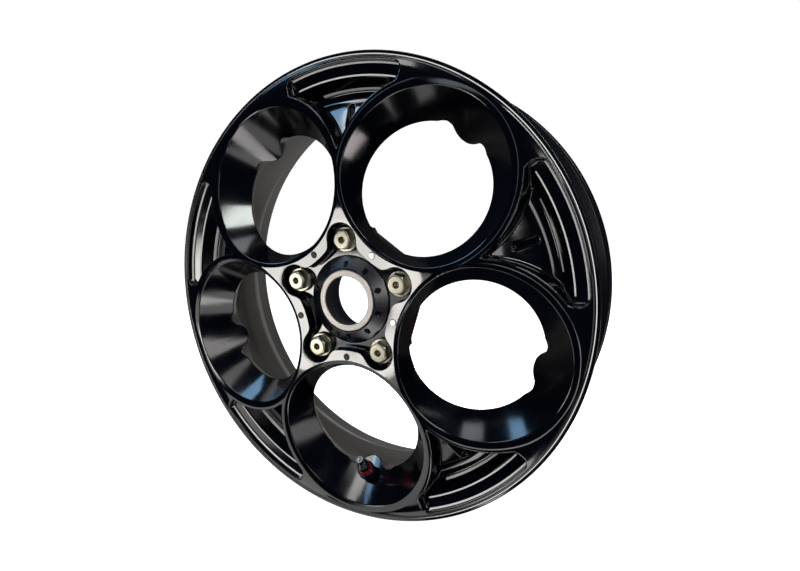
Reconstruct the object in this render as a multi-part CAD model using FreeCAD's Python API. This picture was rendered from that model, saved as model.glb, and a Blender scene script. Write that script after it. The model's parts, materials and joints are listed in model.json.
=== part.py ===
import FreeCAD, Part
import math
import os

# Five-hole racing wheel for a scooter. Axle along Y, outer side towards -Y, +Z up, valve at -Z.
# All sizes in millimetres. Angles turn from +X towards +Z about the axle.

V = FreeCAD.Vector
ORIGIN = V(0, 0, 0)
TURN = V(0, -1, 0)

# ---- driving sizes ----
HOLES = 5
FIRST_HOLE = 270.0
STEP = 360.0 / HOLES
HOLE_ANGLES = [FIRST_HOLE + STEP * i for i in range(HOLES)]
SPOKE_ANGLES = [a + STEP / 2.0 for a in HOLE_ANGLES]

FLANGE_R = 166.0
BEAD_R = 152.6
WELL_R = 141.0
WIDTH = 89.0
SPLIT_Y = 24.0
RIM_WALL_R = 136.5
HUB_R = 49.0

FUNNEL_X = 92.8
FUNNEL_Y = 9.9
FUNNEL_R = 44.7
FUNNEL_TILT = 12.1
FUNNEL_HALF_ANGLE = 33.0
RELIEF_HALF_ANGLE = 35.0
RIB_X = 102.0
RIB_R = 63.2
SLOT_FLOOR_Y = 15.5
LOBE_BOSS_X, LOBE_BOSS_R = 143.0, 13.0
SCALLOP_X, SCALLOP_Z, SCALLOP_R = 128.4, 13.7, 7.0

STAR_WALL_R = 67.0
STAR_FLOOR_Y = -1.0
LOBE_R = 11.6
BOLT_CIRCLE_R = 42.8
PENTAGON_APOTHEM = 42.8
PENTAGON_CORNER_R = 7.0
HUB_BACK_Y = 13.0
CARRIER_BACK_Y = 25.0
PIN_CIRCLE_R = 39.8

NOSE_R = 21.7
NOSE_Y = -6.9
BORE_R = 17.4
SEAT_R = 22.6
SLEEVE_R = 25.0
SLEEVE_BACK_Y = 22.0
RACE_IN_R = 27.2
RACE_OUT_R = 30.3
BEARING_R = 32.5
BEARING_W = 7.0
BEARING_Y = (1.4, 11.2)
BALL_PITCH_R = 28.75
BALL_R = 1.95
BALLS = 20

VALVE_TIP = V(0, 1.8, -122.5)
VALVE_DIR = V(0, -0.589, 0.808)


# ---- helpers ----
def about(shape, angle):
    """Turn a copy of a shape about the axle, from +X towards +Z."""
    copy = shape.copy()
    copy.rotate(ORIGIN, TURN, angle)
    return copy


def around(shape, angles):
    """One copy of a shape at each angle."""
    return [about(shape, angle) for angle in angles]


def fused(shapes):
    """Union of a list of shapes, with the seams removed."""
    return shapes[0].multiFuse(shapes[1:]).removeSplitter()


def revolve(points, sweep=360.0, start=0.0):
    """Solid of revolution about the axle from (radius, y) corners."""
    corners = [V(r, y, 0) for r, y in points]
    wire = Part.makePolygon(corners + corners[:1])
    solid = Part.Face(wire).revolve(ORIGIN, TURN, sweep)
    return about(solid, start)


def ring(r_in, r_out, y0, y1):
    """Plain ring between two planes."""
    return revolve([(r_in, y0), (r_out, y0), (r_out, y1), (r_in, y1)])


def rod(r, y0, y1, x=0.0, z=0.0):
    """Cylinder along the axle direction."""
    return Part.makeCylinder(r, y1 - y0, V(x, y0, z), V(0, 1, 0))


def along(r, length, start, direction):
    """Cylinder from a point in any direction."""
    return Part.makeCylinder(r, length, start, direction)


def pentagon(apothem, corner_r, y0, y1):
    """Five-sided block with rounded corners, flats facing the large holes."""
    corner = apothem / math.cos(math.radians(STEP / 2.0))
    points = []
    for angle in SPOKE_ANGLES:
        a = math.radians(angle)
        points.append(V(corner * math.cos(a), y0, corner * math.sin(a)))
    face = Part.Face(Part.makePolygon(points + points[:1]))
    block = face.extrude(V(0, y1 - y0, 0))
    upright = [e for e in block.Edges if abs(e.BoundBox.YLength - (y1 - y0)) < 0.01]
    return block.makeFillet(corner_r, upright)


# ---- the forged wheel, milled as one fifth and repeated ----
def wheel_blank():
    """One fifth of the turned wheel: domed face, web, drop-centre barrel and both flanges."""
    face = [(31.4, -9.6), (50.0, -9.6), (65.0, -11.2), (86.0, -11.8), (104.0, -10.4),
            (118.0, -8.6), (130.0, -6.4), (145.0, -4.2), (160.6, -1.4)]
    front_flange = [(162.2, -0.6), (162.6, 0.0), (163.4, 0.0), (163.8, -0.6), (165.2, -0.4),
                    (FLANGE_R, 0.6), (FLANGE_R, 3.4), (165.0, 4.8), (163.0, 5.6),
                    (157.0, 6.0), (154.4, 6.8), (BEAD_R, 9.0)]
    well = [(BEAD_R - 0.8, 17.6), (BEAD_R + 0.2, 19.0), (BEAD_R - 0.2, 20.6), (WELL_R + 1.0, 30.6),
            (WELL_R, 33.0), (WELL_R, 54.0), (WELL_R + 1.0, 56.4), (148.6, 66.4),
            (BEAD_R + 0.2, 69.0), (BEAD_R - 0.8, 70.6)]
    rear_flange = [(BEAD_R, 79.4), (154.4, 81.8), (157.0, 82.8), (163.0, 83.4), (165.0, 84.2),
                   (FLANGE_R, 85.6), (FLANGE_R, 88.2), (165.2, WIDTH), (158.0, WIDTH),
                   (153.6, 87.2), (149.6, 82.5)]
    inside = [(148.6, 69.0), (147.4, 68.4), (145.5, 67.0), (138.6, 56.0), (137.5, 53.0),
              (137.5, 24.6), (130.0, 23.4), (104.0, 17.8), (60.0, 9.6), (48.3, 6.6), (31.4, 6.6)]
    return revolve(face + front_flange + well + rear_flange + inside, STEP, -STEP / 2.0)


def wedge():
    """The space of one fifth, between the middles of two neighbouring holes."""
    return revolve([(1.0, -30.0), (200.0, -30.0), (200.0, 120.0), (1.0, 120.0)], STEP, -STEP / 2.0)


def beside(shape):
    """Copies at the two hole centres that border a fifth."""
    return around(shape, (-STEP / 2.0, STEP / 2.0))


def funnel_cutters():
    """Tilted cone that opens forwards from the small end, and its relief behind."""
    tilt = math.radians(FUNNEL_TILT)
    back = V(-math.sin(tilt), math.cos(tilt), 0)
    centre = V(FUNNEL_X, FUNNEL_Y, 0)
    front_h = 46.0
    front_r = FUNNEL_R + front_h * math.tan(math.radians(FUNNEL_HALF_ANGLE))
    cone = Part.makeCone(FUNNEL_R, front_r, front_h, centre, back * -1)
    back_h = 18.0
    back_r = FUNNEL_R + back_h * math.tan(math.radians(RELIEF_HALF_ANGLE))
    relief = Part.makeCone(FUNNEL_R, back_r, back_h, centre, back)
    return cone, relief.common(rod(137.5, -20.0, 60.0))


def arc_pockets():
    """Two stepped bands behind the front flange, between neighbouring funnels."""
    outer = revolve([(151.6, 6.1), (151.9, 4.7), (158.9, 3.0), (159.6, 1.8), (160.2, -9.0),
                     (151.6, -9.0)], 31.2, -15.6)
    inner = revolve([(144.8, 11.4), (149.4, 10.4), (151.7, 5.0), (151.7, -12.0), (144.8, -12.0)],
                    29.6, -14.8)
    return [outer, inner]


def triangle_pocket():
    """Sloping floor between two funnel ribs and the arc bands."""
    floor = revolve([(100.0, -1.5), (104.0, 0.5), (112.0, 3.4), (121.0, 7.0), (132.0, 11.2),
                     (141.0, 14.4), (144.0, 14.4), (145.2, 12.8), (145.2, -14.0),
                     (100.0, -14.0)], 60.0, -30.0)
    for rib in beside(rod(RIB_R, -20.0, 30.0, RIB_X)):
        floor = floor.cut(rib)
    return floor


def slot():
    """Blind slot in a pocket floor, round ends along the radius."""
    ends = [rod(2.9, -20.0, SLOT_FLOOR_Y, x) for x in (121.5, 132.5)]
    bar = Part.makeBox(11.0, SLOT_FLOOR_Y + 20.0, 5.8, V(121.5, -20.0, -2.9))
    return fused(ends + [bar])


def star_point():
    """One fifth of the star recess round the bolts, its walls beside the funnels."""
    disc = rod(47.0, -20.0, STAR_FLOOR_Y)
    for rib in beside(rod(STAR_WALL_R, -21.0, 0.0, RIB_X)):
        disc = disc.cut(rib)
    lobe = rod(LOBE_R, -20.0, STAR_FLOOR_Y, BOLT_CIRCLE_R)
    return disc.fuse(lobe).common(wedge())


def valve_boss():
    """Rounded boss on the barrel's inner wall, behind the outer edge of a hole."""
    boss = rod(LOBE_BOSS_R, 16.0, 27.0, LOBE_BOSS_X)
    nose = Part.makeCone(LOBE_BOSS_R - 2.0, LOBE_BOSS_R, 2.0, V(LOBE_BOSS_X, 14.0, 0), V(0, 1, 0))
    return boss.fuse(nose).common(rod(144.5, 0.0, 30.0))


def scallops():
    """Round milled bites on both sides of a boss."""
    return [rod(SCALLOP_R, 13.0, 34.0, SCALLOP_X, z) for z in (-SCALLOP_Z, SCALLOP_Z)]


def valve_hole():
    """Drilled hole on the valve's line, from the funnel wall into the tyre space."""
    return along(4.2, 44.0, VALVE_TIP - VALVE_DIR * 10.0, VALVE_DIR * -1)


def wheel_fifth():
    """One milled fifth of the wheel, with its spoke along +X."""
    cone, relief = funnel_cutters()
    body = wheel_blank()
    for tool in beside(relief):
        body = body.cut(tool)
    hub_block = about(pentagon(PENTAGON_APOTHEM + 0.7, PENTAGON_CORNER_R, 0.0, HUB_BACK_Y),
                      -SPOKE_ANGLES[0])
    body = body.fuse(hub_block.cut(rod(31.4, -1.0, 30.0)).common(wedge()))
    for pocket in scallops():
        for tool in beside(pocket):
            body = body.cut(tool)
    for boss in beside(valve_boss()):
        body = body.fuse(boss.common(wedge()))
    tools = beside(cone) + arc_pockets() + [triangle_pocket(), slot(), star_point()]
    tools += [rod(36.0, 0.9, 40.0), rod(4.1, -20.0, 40.0, BOLT_CIRCLE_R)]
    tools += beside(rod(2.0, -20.0, -3.0, PIN_CIRCLE_R))
    for tool in tools:
        body = body.cut(tool)
    return body


def wheel_regions():
    """Barrel, front rim, hub and five spokes, face to face with no overlap."""
    fifth = wheel_fifth()
    bands = {"rim_barrel": ring(WELL_R - 20.0, 200.0, SPLIT_Y, 120.0),
             "rim_front": ring(RIM_WALL_R, 200.0, -30.0, SPLIT_Y),
             "hub_flange": ring(20.0, HUB_R, -30.0, SPLIT_Y),
             "spoke": ring(HUB_R, RIM_WALL_R, -30.0, SPLIT_Y)}
    pieces = {name: fifth.common(band) for name, band in bands.items()}
    parts = {}
    for name in ("rim_barrel", "rim_front", "hub_flange"):
        parts[name] = fused(around(pieces[name], SPOKE_ANGLES))
    for name in ("rim_barrel", "rim_front"):
        parts[name] = parts[name].cut(valve_hole())
    spoke = max(pieces["spoke"].Solids, key=lambda s: s.Volume)
    for index, angle in enumerate(SPOKE_ANGLES):
        parts["spoke_%d" % (index + 1)] = about(spoke, angle)
    return parts


# ---- hub and bearings ----
def hub_carrier():
    """Five-sided flange with the bearing tube, clamped behind the wheel by the five bolts."""
    body = pentagon(PENTAGON_APOTHEM, PENTAGON_CORNER_R, HUB_BACK_Y, CARRIER_BACK_Y)
    body = body.fuse(rod(36.0, 0.9, HUB_BACK_Y + 1.0))
    body = body.cut(rod(31.2, -5.0, 40.0))
    for y in BEARING_Y:
        body = body.cut(rod(BEARING_R, y, y + BEARING_W))
    body = body.cut(rod(BEARING_R, 0.0, BEARING_Y[0]))
    body = body.cut(rod(BEARING_R, BEARING_Y[1], 40.0))
    body = body.cut(rod(33.9, 18.4, 19.7))
    body = body.cut(around(rod(4.1, 0.0, 40.0, BOLT_CIRCLE_R), SPOKE_ANGLES))
    body = body.cut(around(rod(2.1, 15.0, 40.0, PIN_CIRCLE_R), HOLE_ANGLES))
    return body.cut(key_blocks())


def key_blocks():
    """Slim key let into each flat of the carrier, on one side of its middle."""
    block = Part.makeBox(4.2, 3.4, 13.0, V(PENTAGON_APOTHEM - 3.9, 15.4, -17.6))
    return around(block, HOLE_ANGLES)


def front_cap():
    """Dark cone over the front bearing, with ten small countersunk holes."""
    body = revolve([(22.1, -6.3), (22.4, -6.6), (23.0, -6.5), (31.0, -2.3), (31.4, -1.9), (31.4, 0.9),
                    (32.4, 0.9), (32.4, 1.4), (28.4, 1.4), (28.4, 0.9), (22.1, 0.9)])
    sink = Part.makeCone(3.0, 1.1, 2.9, V(26.6, -6.2, 0), V(0, 1, 0))
    hole = sink.fuse(rod(1.1, -5.0, -1.2, 26.6))
    return body.cut(around(hole, [18.0 + 36.0 * i for i in range(10)]))


def axle_sleeve():
    """Stepped sleeve: bright nose at the front, bearing seats outside, axle seat inside."""
    return revolve([(BORE_R, NOSE_Y + 0.4), (BORE_R + 0.4, NOSE_Y), (NOSE_R - 0.4, NOSE_Y),
                    (NOSE_R, NOSE_Y + 0.4), (NOSE_R, 1.25), (SLEEVE_R, 1.25),
                    (SLEEVE_R, SLEEVE_BACK_Y), (24.4, SLEEVE_BACK_Y), (SEAT_R, 18.0),
                    (SEAT_R, 4.0), (19.4, 1.0), (BORE_R, 1.0)])


def groove(y):
    """Ball track cutter centred in a bearing that starts at y."""
    return Part.makeTorus(BALL_PITCH_R, BALL_R + 0.2, V(0, y + BEARING_W / 2.0, 0), V(0, 1, 0))


def inner_race(y):
    return ring(SLEEVE_R, RACE_IN_R, y, y + BEARING_W).cut(groove(y))


def outer_race(y):
    return ring(RACE_OUT_R, BEARING_R, y, y + BEARING_W).cut(groove(y))


def ball_places():
    return [i * 360.0 / BALLS for i in range(BALLS)]


def cage(y):
    """Thin ring that spaces the balls."""
    middle = y + BEARING_W / 2.0
    body = ring(28.1, 29.4, middle - 2.6, middle + 2.6)
    pocket = along(BALL_R + 0.06, 6.0, V(26.0, middle, 0), V(1, 0, 0))
    return body.cut(around(pocket, ball_places()))


def balls(y):
    middle = y + BEARING_W / 2.0
    ball = Part.makeSphere(BALL_R, V(BALL_PITCH_R, middle, 0))
    return Part.makeCompound(around(ball, ball_places()))


def seal(y0, y1):
    """Flat rubber shield held in the outer race."""
    return ring(27.6, RACE_OUT_R, y0, y1)


def rear_seal():
    """Rubber ring that closes the rear of the bearing tube."""
    return revolve([(25.5, 20.4), (26.2, 19.9), (BEARING_R, 19.9), (BEARING_R, 22.4),
                    (26.4, 22.4), (25.5, 21.6)])


def retaining_ring():
    """Snap ring in its groove behind the rear bearing, with a gap for fitting."""
    body = ring(30.6, 33.9, 18.4, 19.7)
    return body.cut(Part.makeBox(10.0, 5.0, 6.0, V(27.0, 17.0, -3.0)))


# ---- bolts, nuts and pins ----
def hexagon(flats, y0, y1):
    """Hexagonal block along the axle direction, at the bolt circle."""
    points = []
    for i in range(6):
        a = math.radians(60 * i + 30)
        reach = flats / 2.0 / math.cos(math.radians(30))
        points.append(V(BOLT_CIRCLE_R + reach * math.cos(a), y0, reach * math.sin(a)))
    face = Part.Face(Part.makePolygon(points + points[:1]))
    return face.extrude(V(0, y1 - y0, 0))


def wheel_bolt():
    """Flanged hexagon bolt with a drilled head."""
    x = BOLT_CIRCLE_R
    rim = Part.makeCone(7.8, 9.0, 0.9, V(x, -4.2, 0), V(0, 1, 0))
    crown = Part.makeCone(6.0, 12.1, 6.1, V(x, -9.6, 0), V(0, 1, 0))
    head = hexagon(13.0, -9.6, -3.5).common(crown.fuse(rod(12.0, -3.6, 0.0, x)))
    body = fused([head, rim, rod(9.0, -3.3, STAR_FLOOR_Y, x), rod(4.0, -1.5, 33.5, x)])
    return body.cut(rod(2.2, -10.0, -4.0, x))


def wheel_nut():
    """Flanged nut behind the carrier."""
    x = BOLT_CIRCLE_R
    base = rod(8.4, CARRIER_BACK_Y, CARRIER_BACK_Y + 1.4, x)
    return base.fuse(hexagon(13.0, CARRIER_BACK_Y + 1.0, 32.0)).cut(rod(4.0, 20.0, 40.0, x))


def hub_pin():
    return rod(2.0, -9.8, -3.0, PIN_CIRCLE_R)


# ---- valve ----
def on_valve(distance):
    """Point on the valve's line, measured from its tip back into the rim."""
    return VALVE_TIP - VALVE_DIR * distance


def valve_tube(r_in, r_out, start, end):
    """Tube on the valve's line between two distances from the tip."""
    outer = along(r_out, end - start, on_valve(start), VALVE_DIR * -1)
    return outer.cut(along(r_in, end - start, on_valve(start), VALVE_DIR * -1))


def valve_parts():
    """Straight stem with its nut, seal, red band, plated mouth, core and core pin."""
    inward = VALVE_DIR * -1
    taper = Part.makeCone(2.9, 4.6, 3.0, on_valve(4.4), inward)
    body = taper.fuse(along(4.6, 3.6, on_valve(7.4), inward))
    body = body.fuse(along(3.9, 19.0, on_valve(11.0), inward))
    mouth = valve_tube(1.9, 2.6, 0.0, 12.0)
    core = valve_tube(0.95, 1.9, 1.0, 12.0)
    pin = along(0.6, 11.4, on_valve(0.3), inward)
    return {"valve_body": body.cut(along(2.6, 40.0, on_valve(-1.0), inward).common(
                along(9.0, 12.0, on_valve(0.0), inward))).cut(
                along(1.4, 40.0, on_valve(11.0), inward)),
            "valve_mouth": mouth,
            "valve_core": core,
            "valve_pin": pin,
            "valve_band": valve_tube(3.9, 5.0, 11.6, 14.0),
            "valve_nut": valve_tube(3.9, 6.6, 14.0, 18.4),
            "valve_seal": valve_tube(3.9, 5.6, 18.4, 20.0)}


def build():
    """Every part by name."""
    parts = wheel_regions()
    parts["hub_carrier"] = hub_carrier()
    parts["drive_keys"] = Part.makeCompound(key_blocks())
    parts["front_cap"] = front_cap()
    parts["axle_sleeve"] = axle_sleeve()
    parts["bearing_spacer"] = ring(SLEEVE_R, 27.0, BEARING_Y[0] + BEARING_W, BEARING_Y[1])
    parts["retaining_ring"] = retaining_ring()
    parts["rear_seal"] = rear_seal()
    for name, y in zip(("front", "rear"), BEARING_Y):
        parts["inner_race_" + name] = inner_race(y)
        parts["outer_race_" + name] = outer_race(y)
        parts["cage_" + name] = cage(y)
        parts["balls_" + name] = balls(y)
    parts["shield_front"] = seal(BEARING_Y[0] + 0.05, BEARING_Y[0] + 0.6)
    parts["shield_rear"] = seal(BEARING_Y[1] + BEARING_W - 0.6, BEARING_Y[1] + BEARING_W - 0.05)
    for index, angle in enumerate(SPOKE_ANGLES):
        parts["wheel_bolt_%d" % (index + 1)] = about(wheel_bolt(), angle)
        parts["wheel_nut_%d" % (index + 1)] = about(wheel_nut(), angle)
    parts["hub_pins"] = Part.makeCompound(around(hub_pin(), HOLE_ANGLES))
    parts.update(valve_parts())
    return parts


def main():
    os.makedirs("parts", exist_ok=True)
    for name, shape in build().items():
        shape.exportStep("parts/%s.step" % name)
        print("%-18s volume %10.0f  solids %d  valid %s"
              % (name, shape.Volume, len(shape.Solids), shape.isValid()))


main()
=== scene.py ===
import json
import math

import bpy
import numpy as np
from mathutils import Euler, Matrix, Vector


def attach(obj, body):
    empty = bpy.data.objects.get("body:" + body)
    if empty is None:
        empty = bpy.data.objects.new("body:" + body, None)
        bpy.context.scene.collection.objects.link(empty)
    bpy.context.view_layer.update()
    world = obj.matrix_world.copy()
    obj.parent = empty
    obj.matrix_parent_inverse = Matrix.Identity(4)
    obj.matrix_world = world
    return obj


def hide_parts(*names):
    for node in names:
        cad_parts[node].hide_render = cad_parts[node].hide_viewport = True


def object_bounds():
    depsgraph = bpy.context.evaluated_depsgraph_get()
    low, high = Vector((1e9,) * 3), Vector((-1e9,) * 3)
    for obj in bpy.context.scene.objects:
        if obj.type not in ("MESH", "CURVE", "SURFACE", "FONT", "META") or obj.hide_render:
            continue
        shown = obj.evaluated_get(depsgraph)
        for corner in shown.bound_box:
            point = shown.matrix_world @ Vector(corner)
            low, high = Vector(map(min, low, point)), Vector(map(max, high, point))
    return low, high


# Five-hole racing wheel. Metres in the scene, millimetres in the shape functions below.
# Axle along Y, outer side towards -Y, +Z up. Angles turn from +X towards +Z about the axle.

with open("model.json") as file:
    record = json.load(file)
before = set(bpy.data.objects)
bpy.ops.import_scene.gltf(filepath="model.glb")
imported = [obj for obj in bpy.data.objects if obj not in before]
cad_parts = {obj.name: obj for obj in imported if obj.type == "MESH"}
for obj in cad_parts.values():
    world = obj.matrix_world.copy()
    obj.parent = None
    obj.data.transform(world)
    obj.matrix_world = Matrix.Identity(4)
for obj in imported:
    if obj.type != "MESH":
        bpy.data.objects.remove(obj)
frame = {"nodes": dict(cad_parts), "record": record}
CAD_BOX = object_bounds()

MM = 0.001
HOLES = 5
STEP = 2.0 * math.pi / HOLES
HALF = STEP / 2.0
FIRST_SPOKE = math.radians(306.0)
SPOKE_ANGLES = [FIRST_SPOKE + STEP * i for i in range(HOLES)]

# ---- sizes of the milled wheel, in mm; a pair of Y is front and back, a pair of R inner and outer ----
FLANGE_R = 166.0
SPLIT_Y = 37.0
BARREL_R = 137.5
WELL_R = 141.0
FUNNEL_X, FUNNEL_Y, FUNNEL_R = 92.8, 9.9, 44.7
FUNNEL_TILT = math.radians(12.1)
FUNNEL_SLOPE = math.radians(33.0)
RELIEF_SLOPE = math.radians(35.0)
# ring at a funnel's edge: the funnel's share in its slope, and its width towards the hub and the rim
CHAMFER_MIX = 0.34
CHAMFER_NARROW, CHAMFER_WIDE = 1.9, 3.0
LOBE_BOSS_X, LOBE_BOSS_R, LOBE_BOSS_Y = 143.0, 13.0, (8.0, 27.0)
SCALLOP_X, SCALLOP_Z, SCALLOP_R, SCALLOP_Y = 128.4, 13.7, 7.0, (13.0, 34.0)
RIB_X, RIB_R = 102.0, 63.2
POCKET_R = (92.0, 144.2)
BAND_REACH = math.radians(16.4)
OUTER_BAND_R, INNER_BAND_R, INNER_BAND_BACK_Y = (150.6, 160.1), (143.6, 151.4), 13.0
# floor of each band: its y at a radius, and how much y grows for each mm inwards
OUTER_FLOOR, INNER_FLOOR = (3.2, 159.1, 0.12), (4.6, 151.0, 1.25)
SLOT_X, SLOT_HALF_WIDTH, SLOT_FLOOR_Y = (121.5, 132.5), 2.9, 15.5
GROOVE_R, GROOVE_Y, GROOVE_SECTION_R = 163.0, -1.5, 1.15
STAR_WALL_R, STAR_R, STAR_FLOOR_Y = 67.0, 47.0, -1.0
LOBE_R, BOLT_CIRCLE_R, BOLT_HOLE_R = 11.6, 42.8, 4.1
PENTAGON_APOTHEM, PENTAGON_CORNER_R, HUB_BACK_Y = 43.5, 7.0, 13.0
CAP_HOLE_R, CAP_HOLE_BACK_Y = 31.5, 2.0
HOUSING_R, HOUSING_FRONT_Y = 36.0, 0.9
PIN_CIRCLE_R, PIN_HOLE_R, PIN_HOLE_BACK_Y = 39.8, 2.25, -3.0
# cosine of each sloping surface, which turns a height above it into a distance
FACE_COS, BACK_COS, SEAT_COS, POCKET_COS, INNER_FLOOR_COS = 0.99, 0.985, 0.93, 0.935, 0.62
# painted highlight arcs in the rim: radius, half width, reach each side of a spoke in degrees, and the y
# between which it shows
PAINTED_HIGHLIGHT_LINES = (
    (159.2, 0.55, 15.3, 0.9, 5.0),
    (151.5, 0.5, 14.6, 2.2, 7.0),
    (144.6, 0.6, 9.2, 8.5, 15.0),
)

# ---- sizes of a wheel bolt, in mm ----
BOLT_HEAD_HALF, BOLT_TOP_R, BOLT_TOP_Y = 6.5, 6.1, -9.6
BOLT_FLANGE_R, BOLT_FLANGE_Y = 8.9, -4.2
BOLT_SHANK_R, BOLT_END_Y = 4.0, 33.5
BOLT_DRILL_R, BOLT_DRILL_Y = 2.2, -4.0

# ---- curves: (radius, y) of the front, the back and the pocket floor; (y, radius) of the tyre side ----
FACE = np.array([(28, -9.1), (34, -9.2), (40, -9.4), (50, -10.0), (58, -10.8), (66, -11.4), (76, -11.75),
                 (86, -11.8), (96, -11.3), (106, -10.3), (118, -8.7), (130, -6.7), (145, -4.2),
                 (158, -2.0), (162, -1.0), (166, -0.4), (170, -0.2)], float)
BACK = np.array([(28, 6.6), (48.3, 6.6), (60, 9.6), (82, 13.6), (104, 17.8), (130, 23.4),
                 (137.5, 24.8), (150, 27.0)], float)
POCKET = np.array([(96, -3.2), (100, -1.4), (104, 0.5), (112, 3.4), (121, 7.0), (132, 11.2),
                   (139, 14.0), (142, 14.5), (150, 14.9)], float)
SEAT = np.array([(0, 153.2), (6, 153.2), (9, 152.6), (17.4, 151.9), (19, 152.9), (20.8, 152.5),
                 (24, 149.0), (29, 143.6), (32, 141.3), (35, 141.0), (60, 141.0)], float)

# ---- section of the barrel behind SPLIT_Y: radius, y and the rounding of each corner ----
BARREL_SECTION = (
    (WELL_R, SPLIT_Y, 0.0), (WELL_R, 54.0, 3.0), (WELL_R + 1.0, 56.4, 3.0), (148.6, 66.4, 4.0),
    (152.8, 69.0, 1.2), (151.8, 70.6, 1.2), (152.6, 79.4, 2.0), (154.4, 81.8, 2.0),
    (157.0, 82.8, 2.0), (163.0, 83.4, 1.0), (165.0, 84.2, 0.8), (166.0, 85.6, 0.5),
    (166.0, 88.2, 0.5), (165.2, 89.0, 0.5), (158.0, 89.0, 1.0), (153.6, 87.2, 2.0),
    (149.6, 82.5, 2.0), (148.6, 69.0, 2.0), (147.4, 68.4, 0.6), (145.5, 67.0, 0.6),
    (138.6, 56.0, 3.0), (BARREL_R, 53.0, 3.0), (BARREL_R, SPLIT_Y, 0.0),
)
ARC_STEPS = 5
LATHE_SEGMENTS = 360


# ---- shape functions: negative inside the metal ----
def smooth_curve(table, at):
    """Smooth curve through a table of points, with a slope of its own at each."""
    x, y = table[:, 0], table[:, 1]
    slope = np.gradient(y, x)
    i = np.clip(np.searchsorted(x, at) - 1, 0, len(x) - 2)
    h = x[i + 1] - x[i]
    t = np.clip((at - x[i]) / h, 0.0, 1.0)
    return ((1 + 2 * t) * (1 - t) ** 2 * y[i] + t * (1 - t) ** 2 * h * slope[i]
            + t * t * (3 - 2 * t) * y[i + 1] + t * t * (t - 1) * h * slope[i + 1])


def join(a, b, radius):
    """Union with a fillet of the given radius."""
    u, v = np.maximum(radius - a, 0), np.maximum(radius - b, 0)
    return np.maximum(radius, np.minimum(a, b)) - np.sqrt(u * u + v * v)


def meet(a, b, radius):
    """Intersection with a rounded edge."""
    u, v = np.maximum(radius + a, 0), np.maximum(radius + b, 0)
    return np.minimum(-radius, np.maximum(a, b)) + np.sqrt(u * u + v * v)


def cut(a, b, radius):
    """a without b, with a rounded edge."""
    return meet(a, -b, radius)


def from_axis(u, w, at):
    """Distance from an axis that runs along y through (at, 0)."""
    return np.sqrt((u - at) ** 2 + w * w)


def hole_axes(x, z):
    """Place seen from the two holes beside a spoke: outwards and across, for each."""
    c, s = math.cos(HALF), math.sin(HALF)
    return x * c + z * s, z * c - x * s, x * c - z * s, z * c + x * s


def funnel_frame(u, w, y):
    """Height along a funnel's tilted axis, distance from it, and its part that points away from the hub."""
    du, dy = u - FUNNEL_X, y - FUNNEL_Y
    s, c = math.sin(FUNNEL_TILT), math.cos(FUNNEL_TILT)
    height = du * s - dy * c
    side = du * c + dy * s
    return height, np.sqrt(side * side + w * w), side


def funnel_cone(height, around):
    """Distance outside a funnel's cone."""
    return (around - FUNNEL_R - height * math.tan(FUNNEL_SLOPE)) * math.cos(FUNNEL_SLOPE)


def forging(face, r, y, height, around):
    """Face, back and front flange, relieved behind each funnel and turned on the tyre side."""
    solid = meet(face, r - FLANGE_R, 0.5)
    behind = meet((smooth_curve(BACK, r) - y) * BACK_COS, r - BARREL_R, 3.0)
    relief = (around - FUNNEL_R + height * math.tan(RELIEF_SLOPE)) * math.cos(RELIEF_SLOPE)
    solid = cut(solid, behind, 0.8)
    solid = cut(solid, meet(relief, r - BARREL_R, 3.0), 0.8)
    flange_back = 5.2 + 0.06 * (FLANGE_R - r)
    outside = meet((smooth_curve(SEAT, y) - r) * SEAT_COS, flange_back - y, 2.0)
    return cut(solid, outside, 0.7)


def hub_block(u, u2, y):
    """Five-sided block that backs the hub."""
    block = meet(u - PENTAGON_APOTHEM, u2 - PENTAGON_APOTHEM, PENTAGON_CORNER_R)
    return meet(meet(block, y - HUB_BACK_Y, 0.5), STAR_FLOOR_Y - y, 0.1)


def scallops(u, w, y):
    """Two scallops in the rim behind each hole."""
    bite = np.sqrt((u - SCALLOP_X) ** 2 + (np.abs(w) - SCALLOP_Z) ** 2) - SCALLOP_R
    return meet(meet(bite, SCALLOP_Y[0] - y, 1.0), y - SCALLOP_Y[1], 2.0)


def lobe_boss(u, w, r, y):
    """Round boss in the rim between the scallops."""
    boss = from_axis(u, w, LOBE_BOSS_X) - LOBE_BOSS_R
    boss = meet(meet(boss, y - LOBE_BOSS_Y[1], 1.5), r - (BARREL_R + 2.0), 0.1)
    return meet(boss, LOBE_BOSS_Y[0] - y, 0.1)


def funnel_chamfer(face, cone, height, side):
    """Ring where a funnel meets the face."""
    lean = np.clip(side / 55.0, -1.0, 1.0)
    width = CHAMFER_NARROW + (CHAMFER_WIDE - CHAMFER_NARROW) * np.clip(0.75 + lean, 0, 1)
    ring = face * (1 - CHAMFER_MIX) - cone * CHAMFER_MIX + width * CHAMFER_MIX * 0.9
    norm = math.sqrt((1 - CHAMFER_MIX) ** 2 + CHAMFER_MIX ** 2
                     + 2 * CHAMFER_MIX * (1 - CHAMFER_MIX) * 0.55)
    return np.where(height > 2.0, ring / norm, -1.0)


def band_floor(y, r, floor):
    """Height above a band's floor."""
    start_y, start_r, rise = floor
    return y - start_y - (start_r - r) * rise


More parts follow.
